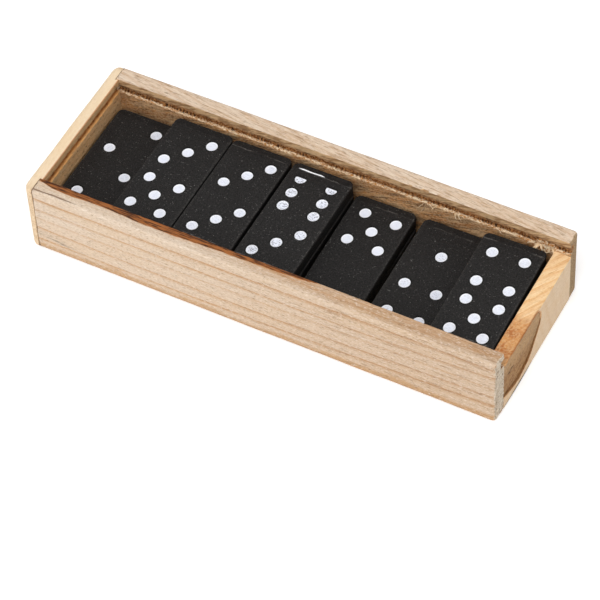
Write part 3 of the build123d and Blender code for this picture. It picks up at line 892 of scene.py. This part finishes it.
def buildRightEnd():
    # The board's section carried along Y; two rows of points follow the lower edge of the scoop
    inner, outer, half = rightLow[0], rightHigh[0], rightHigh[1]
    height, base, baseEnd = rightHigh[2], baseHigh[2], baseHigh[0]
    worn, seed, middle = rightEnd["worn"], rightEnd["seed"], rightEnd["middle"]
    corners = [
        (inner, base, worn, 0.6), (inner, height, worn, 0.2), (outer, height, worn, 0.4),
        (outer, 0, rightEnd["bottomRounding"], 0.5), (baseEnd, 0, worn, 0.5), (baseEnd, base, worn, 0.5),
    ]
    outline, marks = roundedOutline(corners)
    y = np.linspace(-half, half, round(2 * half / rightEnd["columnStep"]))[:, None]
    rows, columns = len(y), len(marks)
    across, up = repeatSection(outline, rows)

    # Outer face: the middle rows move to the scoop's edge, and the rows above and below follow them
    fromFront = y + half
    scoopY, scoopZ = zip(*rightEnd["scoop"])
    edge = np.interp(fromFront, scoopY, scoopZ) + 0.12 * softNoise(seed, y / 1.2)
    edge = edge + (middle - edge) * smoothStep(scoopY[-1] + 0.5, scoopY[-1] + 10, fromFront)
    faceRows = (marks > 2.0) & (marks < 3.0)
    above = edge + (up - middle) * (height - edge) / (height - middle)
    moved = np.where(up > middle, above, up * edge / middle)
    upperColumn = np.where(faceRows & (outline[:, 1] > middle), outline[:, 1], np.inf).argmin()
    lowerColumn = np.where(faceRows & (outline[:, 1] <= middle), outline[:, 1], -np.inf).argmax()
    moved[:, [upperColumn]] = edge + 0.12
    moved[:, [lowerColumn]] = edge
    up = np.where(faceRows, moved, up)
    topDepth, bottomDepth = rightEnd["scoopTop"], rightEnd["scoopBottom"]
    slope = topDepth + (height - up) / (height - 3.0) * (bottomDepth - topDepth)
    rough = 0.08 * softNoise(seed + 1, y / 3.0, up / 0.8) + 0.05 * softNoise(seed + 2, y / 0.6, up / 0.6)
    tip = np.interp(up, rightEnd["tipHeights"], rightEnd["tips"]) + 0.2 * softNoise(seed + 3, up / 1.5)
    within = smoothStep(tip + 0.15, tip - 0.25, fromFront)
    inScoop = faceRows & (up > edge + 0.06) & (np.arange(columns) != lowerColumn)
    depth = np.where(inScoop, np.clip(slope + rough, 0.05, 3) * within, 0)
    topPart = (marks > 1.5) & (marks <= 2.0)
    worked = (topDepth + 0.12 * softNoise(seed + 4, y / 0.9)).clip(0.05)
    depth = np.where(topPart, worked * within * smoothStep(outer - 1.2, outer, across), depth)
    across = across - depth
    # Sawn top: rough near the front
    onTop = (marks >= 1.0) & (marks <= 2.0)
    ragged = fromFront + 2.5 * softNoise(seed + 8, y / 3, across / 2)
    crumbly = smoothStep(rightEnd["crumbleTo"], rightEnd["crumbleTo"] - 8, ragged)
    pits = (0.03 + 0.12 * crumbly) * peaks(seed + 5, y / 0.5, across / 0.5)
    up = np.where(onTop, up - pits - 0.04 * (1 + softNoise(seed + 6, y / 5)), up)

    points = np.stack([across, np.broadcast_to(y, across.shape), up], -1).reshape(-1, 3)
    angle = math.radians(rightEnd["ringAngle"])
    level = (points[:, 1] * math.sin(angle) - points[:, 0] * math.cos(angle) + 0.15 * points[:, 2]
             + 1.0 * softNoise(seed + 7, points[:, 1] / 6, points[:, 0] / 4))
    start, low, end, high = rightEnd["crack"]
    crackLine = np.interp(fromFront, (start, end), (low, high)) + 0.2 * softNoise(seed + 9, y / 0.7)
    crack = np.clip(1.3 - np.abs(up - crackLine) / 0.45, 0, 1) * inScoop
    crack = crack * smoothStep(start - 0.6, start + 0.6, fromFront)
    crack = crack * smoothStep(end + 0.6, end - 1.2, fromFront)
    fromEdge = np.where(inScoop, np.minimum(up - edge, (tip - fromFront) * 1.3), np.inf)
    rim = np.exp(-((edge - up) / 0.30) ** 2) * (fromFront < tip + 0.3) * faceRows
    rim = np.maximum(rim, np.exp(-((fromFront - tip) / 0.35) ** 2) * (up > edge) * faceRows)
    carried = {
        "crumbly": crumbly * onTop, "crack": crack, "scoopRim": rim,
        # Darker towards the scoop's edge: partly dark fibres, partly painted shade
        "scoopEdgeShadeAndFibres": np.clip(1.2 - fromEdge / 0.8, 0, 1),
        "upper": smoothStep(11, 17.5, up + 0.25 * fromFront) * inScoop,
        "arris": smoothStep(outer - 0.5, outer, across + 0.15) * smoothStep(2, 6, fromFront) * (marks > 1.5)
        * smoothStep(24, 20, fromFront) * (marks <= 2.1),
    }
    numbers = perPoint(carried, across.shape)
    numbers["ring"] = level / rightEnd["ringSpacing"]
    faceMark = faceMiddles(marks)
    scooped = inScoop & (within > 0.5)
    following = np.roll(scooped, -1, 1)
    scoopFace = (scooped[1:] & (scooped | following)[:-1]) | (following[1:] & following[:-1])
    paint = np.where((faceMark < 0.98) | (faceMark > 4), 1, 0)
    paint = np.where((faceMark >= 0.98) & (faceMark <= 2.0), 2, paint)
    paint = np.where(scoopFace & (faceMark > 2.0) & (faceMark < 3), 3, paint)
    paint[:, -1] = 1
    paint = np.concatenate([paint.ravel(), [0, 0]])
    finishes = [makeFinish("planedPineEnd", rightPine), insideWood, makeFinish("sawnPineTop", rightTop),
                makeFinish("tornPineScoop", tornPine)]
    groups = [gridFaces(rows, columns), *closingFaces(rows, columns)]
    makePiece("right_end_board", points, groups, "tray", finishes, ["right_end"],
              50, numbers, paint)


buildRightEnd()
# Thin pine board, seen only from below
basePine = {**frontPine, "body": "#DBC19C", "edges": {}, "relief": {"fibre": 0.5, "hair": 0.5, "pore": -0.8}}
basePine["layers"] = [("fibre", 0.5, "#C9A878"), ("broad", 0.5, "#D8B584"), ("fleck", 0.3, "#AD8557"),
                      ("pale", 0.3, "#EFDFC6"), ("pore", 0.5, "#8F6B45")]
del basePine["growth"]
base = bpy.data.objects["base_board"]
base.data.materials.clear()
base.data.materials.append(makeFinish("thinPineBase", basePine))
print("right end and base made")


# Loose pine fibres, paler than the wall that they were torn from: partly their own colour, partly painted
# light
fibrePine = {
    "body": "#F0DDBF",
    "patterns": {"fibre": ((1.2, 0.15, 0.15), 2.0, 0.35, 0.65), "cloud": ((2.5, 2.5, 2.5), 1.0, 0.40, 0.60)},
    "layers": [("fibre", 0.45, "#C99C68"), ("cloud", 0.5, "#DDB583")],
    "relief": {"fibre": 1.0}, "reliefDepth": 0.03, "gloss": ("fibre", 0.60, 0.80), "specular": 0.3,
}
splinters = {
    "seed": 71, "count": 760, "span": (-70, 73), "length": (0.4, 1.5), "radius": (0.045, 0.10),
    "rings": 5, "sides": 4, "largeReach": 1.25, "largeRadius": 1.7,    # the last two are factors
    # Larger ones: place along the box, how far along, out of the wall and up their tips go, radius
    "large": [(29.3, -1.2, -0.6, -3.0, 0.13), (29.0, -1.9, -0.8, -2.2, 0.10), (31.6, 1.3, -0.9, 0.5, 0.11),
              (32.6, -0.9, -1.0, -0.9, 0.12), (30.2, 1.6, -0.7, -0.6, 0.10), (38.3, 0.8, -0.8, -1.3, 0.12),
              (39.6, 0.9, -0.9, -0.8, 0.10), (45.2, -1.0, -0.9, 0.7, 0.11), (52.0, 1.0, -0.8, -0.5, 0.11),
              (63.8, -1.3, -0.9, -1.7, 0.34), (64.3, -0.5, -1.1, -1.5, 0.30), (64.9, 0.6, -0.9, -1.0, 0.28),
              (65.4, 1.2, -0.7, 0.3, 0.20), (67.6, -1.0, -0.8, -1.2, 0.26), (68.3, 0.4, -0.8, -1.0, 0.22),
              (62.9, -1.6, -0.6, -0.5, 0.20), (-32.5, 1.6, -0.3, 0.3, 0.20), (-31.8, -1.2, -0.4, 0.2, 0.14)],
}


def buildSplinters():
    # Each splinter is a thin tube on a curve: root plus t times its reach plus t(1 - t) times a bend, thinner
    # towards the tip; all of them are one array of rings
    random = np.random.default_rng(splinters["seed"])
    count = splinters["count"]
    edge, floor = wallLow[1], wall["grooveFloor"]
    root = np.stack([random.uniform(*splinters["span"], count), edge + random.uniform(0.0, 0.75, count),
                     floor + random.uniform(-0.25, 0.05, count)], 1)
    length = random.uniform(*splinters["length"], count)
    heading = random.uniform(-1, 1, count)
    reach = np.stack([np.sign(heading) * (0.4 + 0.6 * np.abs(heading)), random.uniform(-0.5, 0.1, count),
                      random.uniform(-0.35, 0.5, count)], 1) * length[:, None]
    large = np.array(splinters["large"])
    largeRoot = [(along, edge + 0.25, floor - 0.15) for along in large[:, 0]]
    root = np.vstack([root, largeRoot])
    reach = np.vstack([reach, splinters["largeReach"] * large[:, 1:4]])
    small = random.uniform(*splinters["radius"], count)
    radius = np.concatenate([small, splinters["largeRadius"] * large[:, 4]])
    total = len(root)
    bend = random.normal(0, 0.22, (total, 3)) * np.linalg.norm(reach, axis=1)[:, None]
    bend[:, 1] = -np.abs(bend[:, 1])
    t = np.linspace(0, 1, splinters["rings"])[None, :, None]
    centre = root[:, None] + reach[:, None] * t + bend[:, None] * t * (1 - t) * 2
    ahead = reach / np.linalg.norm(reach, axis=1)[:, None]
    sideways = np.cross(ahead, (0.13, 0.2, 1.0))
    sideways /= np.linalg.norm(sideways, axis=1)[:, None]
    upwards = np.cross(sideways, ahead)
    angle = np.linspace(0, 2 * np.pi, splinters["sides"], endpoint=False)
    ring = (np.cos(angle)[None, None, :, None] * sideways[:, None, None, :]
            + 0.6 * np.sin(angle)[None, None, :, None] * upwards[:, None, None, :])
    thin = radius[:, None, None, None] * (1 - 0.85 * t[..., None] ** 1.3)
    points = (centre[:, :, None, :] + ring * thin).reshape(-1, 3)
    rings, sides = splinters["rings"], splinters["sides"]
    start = (np.arange(total) * rings * sides)[:, None, None]
    tubes = (start + gridFaces(rings, sides)[None]).reshape(-1, 4)
    caps = np.concatenate([(start[:, 0] + np.arange(sides)[::-1][None]),
                           (start[:, 0] + (rings - 1) * sides + np.arange(sides)[None])])
    makePiece("groove_splinters", points, [tubes, caps], "tray",
              [makeFinish("tornPineFibres", fibrePine)], sharp=80)


buildSplinters()
print("splinters made")


# Thin matt black paint on wood: pebbly and wrinkled by the grain, with dust, fine scratches across the domino
# and a pale line where each end was rubbed down
blackPaint = {
    "body": "#111010",
    "patterns": {
        "cloud": ((9.0, 9.0, 9.0), 2.0, 0.30, 0.75), "wrinkle": ((2.6, 0.35, 0.6), 3.0, 0.38, 0.68),
        "pebble": ((0.50, 0.50, 0.50), 3.0, 0.34, 0.66), "speck": ((0.38, 0.38, 0.38), 1.0, 0.68, 0.76),
        "dust": ((0.55, 0.55, 0.55), 2.0, 0.60, 0.70), "scratch": ((2.2, 0.22, 0.5), 2.0, 0.64, 0.76),
        "patch": ((4.0, 3.0, 3.0), 2.0, 0.42, 0.62),
    },
    "edges": {"creaseLine": ("crease", "wrinkle", 0.16, [(0.40, 0.0), (0.48, 1.0), (0.56, 0.0)]),
              "pastCrease": ("crease", "wrinkle", 0.16, [(0.50, 0.0), (0.62, 1.0)])},
    "layers": [
        ("cloud", 0.7, "#1C1A1A"), ("wrinkle", 0.55, "#0A0909"), ("pebble", 0.60, "#312F2E"),
        # The rounded top edges paler: partly worn paint, partly a painted highlight
        ("dust", 0.15, "#54514E"), ("scratch patch", 0.35, "#4E4B49"), ("wear pebble", 0.6, "#4A4744"),
        ("creaseLine rubbed patch", 0.75, "#7A7672"), ("pastCrease", 0.35, "#0C0B0B"),
        # A darker ring on each pit's wall and rim, and the sides near black: both painted shade
        ("speck", 0.55, "#94918E"), ("pipRimShade", 0.9, "#080707"), ("side", 0.85, "#040404"),
    ],
    "relief": {"wrinkle": 0.7, "pebble": 0.8}, "reliefDepth": 0.12,
    "gloss": ("cloud", 0.52, 0.66), "specular": 0.25,
}
# Glossy white paint in a drilled pit: faintly lavender floor, whiter towards the rim by a painted highlight
# on the pit's wall, some grey drill marks
whitePaint = {
    "body": "#F9FAFE",
    "patterns": {
        "pebble": ((0.45, 0.45, 0.45), 2.0, 0.35, 0.65), "mark": ((0.55, 0.28, 0.4), 2.0, 0.50, 0.58),
        "cloud": ((1.8, 1.8, 1.8), 1.0, 0.35, 0.65),
    },
    "layers": [("pipCentre", 0.75, "#EAEEFB"), ("cloud pipCentre", 0.30, "#DFE4F4"),
               ("drilled mark", 0.95, "#6E6F79"), ("pebble", 0.06, "#D5DAE8")],
    "relief": {"pebble": 0.5, "mark": -0.6}, "reliefDepth": 0.03,
    "gloss": ("pebble", 0.30, 0.42), "specular": 0.5,
}
tile = {
    "corner": 1.75, "edge": 0.35, "pipRadius": 1.76, "pipDepth": 0.35, "pipAcross": 4.9, "pipAlong": 5.0,
    "halfCentre": 9.1, "divisions": 16, "gapDivisions": 6, "crease": 17.5,
    "turns": {"5_0": 1.0, "1_4": 0.4, "4_5": 1.4},       # degrees, of the top dominoes that lie askew
    # The pips were drilled by hand: shift across and along, turn in degrees, stretch of each half
    "drilling": {"2_2": (0.25, 0.72, -0.9, 1.0), "3_5": (-0.32, -0.02, -2.2, 1.05),
                 "3_3": (0.29, -0.32, -0.65, 1.0), "6_3": (-0.24, -0.33, -0.3, 1.05),
                 "5_0": (-0.19, -0.42, -2.85, 1.07),
                 "1_4": (0.6, -0.45, -1.4, 1.08), "4_5": (0.26, -0.99, 0.6, 1.11)},
    "handPlaced": (0.3, 0.35, 1.0, 0.03),                # spread of the same for the dominoes below
    "drillMarks": {"2_2": 0.2, "3_5": 0.1, "3_3": 0.22, "6_3": 0.85, "5_0": 0.05, "1_4": 0.35, "4_5": 0.2},
    "endWear": {"3_3": 1.0, "6_3": 0.9, "5_0": 0.8, "1_4": 0.5, "4_5": 0.9, "2_2": 0.15, "3_5": 0.1},
    "cutTile": "6_3", "cutRow": 15.05, "cutLift": 0.62, "cutCentre": 0.34,    # the last two in pip radii
    "strayLine": {"y": 17.9, "from": -7.5, "to": 0.9, "width": 0.50, "rings": 40, "sides": 8},
}


def halfPips(value):
    # Places of one half's pips as signs: across and along from the half's middle
    diagonal, other = [(1, 1), (-1, -1)], [(-1, 1), (1, -1)]
    middle, sides = [(0, 0)], [(-1, 0), (1, 0)]
    return [[], middle, diagonal, diagonal + middle, diagonal + other, diagonal + other + middle,
            diagonal + other + sides][value]


def pipRim(angle, radius, cut):
    # Distance from the pip's centre to its rim: the radius, or for a cut pip the nearer of its flat side and
    # the circle, whose own centre lies a little above the pip's
    if not cut:
        return np.full(angle.shape, radius)
    offset = tile["cutCentre"] * radius
    sine, least = np.sin(angle), 1e-6
    toFlat = np.where(sine > least, tile["cutLift"] * radius / np.maximum(sine, least), np.inf)
    rise = offset * sine
    toCircle = rise + np.sqrt(rise ** 2 + radius ** 2 - offset ** 2)
    return np.minimum(toFlat, toCircle)


def roundRectangle(spots, halfWide, halfLong, corner):
    # Moves points of a rectangle's rim onto the same rectangle with round corners; gives normals too
    reach = np.array([halfWide - corner, halfLong - corner])
    core = np.clip(spots, -reach, reach)
    away = spots - core
    normal = away / np.maximum(np.linalg.norm(away, axis=1)[:, None], 1e-9)
    return core + normal * corner, normal


def tileTop(back, front, drilling):
    # The top face as a grid: squares of points round each pip are pressed into circles and sunk into a pit,
    # and the whole pattern is shifted, turned and stretched as it was drilled. Of the levels round a pip, up
    # to 4/8 lie on the pit's floor, and 5/8 is its rim
    n, gap = tile["divisions"], tile["gapDivisions"]
    across, along, middle = tile["pipAcross"], tile["pipAlong"], tile["halfCentre"]
    halfX, endY, gapY = 1.5 * across, middle + 1.5 * along, middle - 1.5 * along
    x = np.linspace(-halfX, halfX, 3 * n + 1)
    y = np.concatenate([np.linspace(-endY, -gapY, 3 * n + 1), np.linspace(-gapY, gapY, gap + 1)[1:-1],
                        np.linspace(gapY, endY, 3 * n + 1)])
    gridX, gridY = np.meshgrid(x, y)
    sink, white, core, pipRimShade = (np.zeros(gridX.shape) for _ in range(4))
    s, t = np.meshgrid(np.linspace(-1, 1, n + 1), np.linspace(-1, 1, n + 1))
    level = np.maximum(np.abs(s), np.abs(t))
    angle = np.arctan2(t, s)
    steps = np.array([0, 1, 2, 3, 4, 5, 6, 8]) / 8
    spread = np.interp(level, steps, [0, 0.30, 0.60, 0.84, 0.95, 1.0, 1.07, 1.07])
    pit = np.interp(level, steps, [-0.95, -0.97, -1.0, -1.0, -0.85, -0.10, 0, 0]) * tile["pipDepth"]
    toSquare = np.clip((level - 0.75) / 0.25, 0, 1)
    for value, centre, firstRow in ((back, middle, 3 * n + gap), (front, -middle, 0)):
        for signX, signY in halfPips(value):
            rows = slice(firstRow + (signY + 1) * n, firstRow + (signY + 2) * n + 1)
            columns = slice((signX + 1) * n, (signX + 2) * n + 1)
            cut = f"{back}_{front}" == tile["cutTile"] and centre > 0 and signY > 0
            rim = pipRim(angle, tile["pipRadius"], cut)
            midX, midY = signX * across, centre + signY * along
            shift = tile["cutRow"] - tile["cutLift"] * tile["pipRadius"] - midY if cut else 0.0
            roundX = midX + rim * spread * np.cos(angle)
            roundY = midY + shift + rim * spread * np.sin(angle)
            gridX[rows, columns] = roundX * (1 - toSquare) + (midX + s * across / 2) * toSquare
            gridY[rows, columns] = roundY * (1 - toSquare) + (midY + t * along / 2) * toSquare
            sink[rows, columns] = pit
            white[rows, columns] = level <= 4.01 / 8
            # core is 1 at the pip's middle, with the paint's own lavender there; the whiter paint towards the
            # rim is a painted highlight
            core[rows, columns] = np.clip(1.6 - 3.2 * level, 0, 1)
            # A ring over the pit's wall and rim round each pip, painted darker: painted shade
            pipRimShade[rows, columns] = (level > 4.5 / 8) & (level < 6.5 / 8)
    shiftX, shiftY, turn, stretch = drilling
    turn = math.radians(turn)
    half = np.clip(gridY / gapY, -1, 1) * middle
    stretched = gridY + (stretch - 1) * (gridY - half)
    return gridX - turn * gridY + shiftX, stretched + turn * gridX + shiftY, sink, white, core, pipRimShade


def buildTile(node, paints):
    # The top grid, then its rim carried outwards over the margin, round the edge, down the side and under
    back, front = (int(part) for part in node.split("_")[1:])
    key, seed = f"{back}_{front}", 100 + 7 * back + front
    random = np.random.default_rng(seed)
    spare = random.normal(0, 1, 4) * tile["handPlaced"] + (0, 0, 0, 1)
    gridX, gridY, sink, white, core, pipRimShade = tileTop(back, front, tile["drilling"].get(key, spare))
    rows, columns = gridX.shape
    index = np.arange(rows * columns).reshape(rows, columns)
    rim = np.concatenate([index[0, :-1], index[:-1, -1], index[-1, :0:-1], index[:0:-1, 0]])
    flat = np.stack([gridX.ravel(), gridY.ravel()], 1)
    low, high = nodeBox(node)
    size = tileHigh - tileLow
    edge, thick, halfWide, halfLong = tile["edge"], size[2], size[0] / 2, size[1] / 2
    inner = flat[rim]
    plain = np.meshgrid(np.linspace(-1, 1, columns), np.linspace(-1, 1, rows))
    scaled = np.stack(plain, -1).reshape(-1, 2)[rim] * np.array([halfWide - edge, halfLong - edge])
    outline, normal = roundRectangle(scaled, halfWide - edge, halfLong - edge, tile["corner"] - edge)

    turn = np.linspace(0, math.pi / 2, 5)[1:]
    profile = [(0.33, 0, 0), (0.66, 0, 0), (1.0, 0, 0)]
    profile += [(1.0, edge * math.sin(a), edge * (1 - math.cos(a))) for a in turn]
    profile += [(1.0, edge, drop) for drop in np.linspace(edge, thick - edge, 5)[1:]]
    profile += [(1.0, edge * math.cos(a), thick - edge + edge * math.sin(a)) for a in turn]
    out, push, drop = (np.array(column)[:, None, None] for column in zip(*profile))
    loops = inner[None] * (1 - out) + outline[None] * out + normal[None] * push
    loopDrop = np.broadcast_to(drop[..., 0], loops.shape[:2])
    points = np.vstack([flat, loops.reshape(-1, 2)])
    height = np.concatenate([sink.ravel(), -loopDrop.ravel()])

    # Ends of the top face rubbed down past a crease, and a little unevenness all over
    strength = tile["endWear"].get(key, random.uniform(0.1, 1.0))
    crease = tile["crease"] + 0.15 * softNoise(seed, points[:, 0] / 6)
    beyond = np.clip(np.abs(points[:, 1]) - crease, 0, 3)
    topSide = np.clip(1 + height / (0.5 * thick), 0, 1)
    height = height - topSide * 0.11 * strength * beyond
    uneven = softNoise(seed + 1, points[:, 0] / 5 + 30, points[:, 1] / 5 + 30)
    height = height - topSide * (0.02 + 0.02 * uneven)
    # The rounded top edge, marked to be painted paler: partly worn paint, partly a painted highlight
    worn = np.zeros(len(points))
    for ring, amount in ((2, 0.5), (3, 0.8), (4, 0.8), (5, 0.5)):
        start = rows * columns + ring * len(rim)
        worn[start:start + len(rim)] = amount

    angle = math.radians(tile["turns"].get(key, 0.0))
    turned = points @ np.array([[math.cos(angle), math.sin(angle)], [-math.sin(angle), math.cos(angle)]])
    solid = np.column_stack([turned + (low + high)[:2] / 2, low[2] + thick + height])
    count = len(rim)
    ringIndex = np.vstack([rim[None], rows * columns + np.arange(len(profile) * count).reshape(-1, count)])
    ringIndex = np.hstack([ringIndex, ringIndex[:, :1]])
    skirt = np.stack([ringIndex[:-1, :-1], ringIndex[1:, :-1], ringIndex[1:, 1:], ringIndex[:-1, 1:]], -1)
    skirt = skirt.reshape(-1, 4)
    top, bottom = gridFaces(rows, columns, closed=False), ringIndex[-1, :-1][None, ::-1]
    paint = np.concatenate([white.ravel()[top].all(1), np.zeros(len(skirt) + 1)])
    pad = np.zeros(len(points) - core.size)
    numbers = {
        # side paints the sides and underside near black: painted shade
        "wear": worn, "rubbed": strength, "side": smoothStep(0.25, 0.7, -height),
        "crease": np.clip(0.5 + (np.abs(points[:, 1]) - crease) / 2, 0, 1),
        "pipCentre": np.concatenate([core.ravel(), pad]), "pipRimShade": np.concatenate([pipRimShade.ravel(), pad]),
        "drilled": np.concatenate([core.ravel() * tile["drillMarks"].get(key, 0.3), pad]),
    }
    makePiece(f"tile_{key}_body", solid, [top, skirt, bottom], "tile_" + key, paints, [node],
              60, numbers, paint)


def buildStrayLine(node, paint):
    # A thin slip of white paint, pointed at both ends: a flat loop raised by a hair, with its underside sunk
    look = tile["strayLine"]
    rings, sides = look["rings"], look["sides"]
    low, high = nodeBox(node)
    centre = (low + high) / 2
    part = np.linspace(0, 1, rings)[:, None]
    x = look["from"] + (look["to"] - look["from"]) * part
    half = look["width"] / 2 * np.minimum(1, 7 * part) * np.minimum(1, 9 * (1 - part)) + 0.02
    angle = np.linspace(0, 2 * np.pi, sides, endpoint=False)[None]
    y = look["y"] + half * np.cos(angle) + 0.05 * np.sin(9 * part)
    z = high[2] - 0.075 + 0.05 * np.sin(angle)
    points = np.stack([centre[0] + x + 0 * angle, centre[1] + y, z + 0 * part], -1)
    groups = [gridFaces(rings, sides), *closingFaces(rings, sides)]
    makePiece("stray_paint_line", points.reshape(-1, 3), groups, node.replace("domino", "tile"),
              [paint])


paints = [makeFinish("mattBlackPaint", blackPaint), makeFinish("whitePipPaint", whitePaint)]
for node in sorted(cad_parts):
    if node.startswith("domino_"):
        buildTile(node, paints)
buildStrayLine("domino_" + tile["cutTile"], paints[1])
print("dominoes made")
